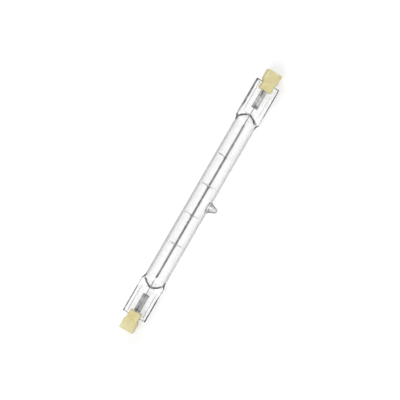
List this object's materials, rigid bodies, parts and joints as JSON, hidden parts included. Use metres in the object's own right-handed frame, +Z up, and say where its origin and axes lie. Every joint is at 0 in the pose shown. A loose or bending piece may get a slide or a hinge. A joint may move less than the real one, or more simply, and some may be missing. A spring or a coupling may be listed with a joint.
{
  "type": "double-ended linear halogen lamp",
  "caption": "Slim clear quartz tube with a coiled filament, flat press seals, a side exhaust tip and ceramic end caps with recessed contacts.",
  "frame": {"origin": "light centre: the middle of the filament, on the lamp's axis", "axes": "+X along the lamp's axis towards the right-hand cap, +Z up as the lamp lies on its tube and exhaust tip"},
  "size_m": [0.1176, 0.0119, 0.009],
  "materials": {
    "quartz_glass": "clear polished quartz",
    "tungsten": "dull grey drawn wire",
    "support_wire": "drawn wire",
    "lead_wire": "drawn wire",
    "molybdenum_foil": "rolled foil",
    "cap_ceramic": "matt pale yellow steatite",
    "contact_metal": "plain plated metal",
    "cap_cement": "matt cement"
  },
  "bodies": {
    "root": {"quartz_envelope": "quartz_glass", "filament": "tungsten", "filament_support_1": "support_wire", "filament_support_2": "support_wire", "filament_support_3": "support_wire", "filament_support_4": "support_wire", "inner_lead_left": "lead_wire", "inner_lead_right": "lead_wire", "seal_foil_left": "molybdenum_foil", "seal_foil_right": "molybdenum_foil", "outer_lead_left": "lead_wire", "outer_lead_right": "lead_wire", "ceramic_cap_left": "cap_ceramic", "ceramic_cap_right": "cap_ceramic", "contact_button_left": "contact_metal", "contact_button_right": "contact_metal", "cap_cement_left": "cap_cement", "cap_cement_right": "cap_cement"}
  },
  "joints": []
}
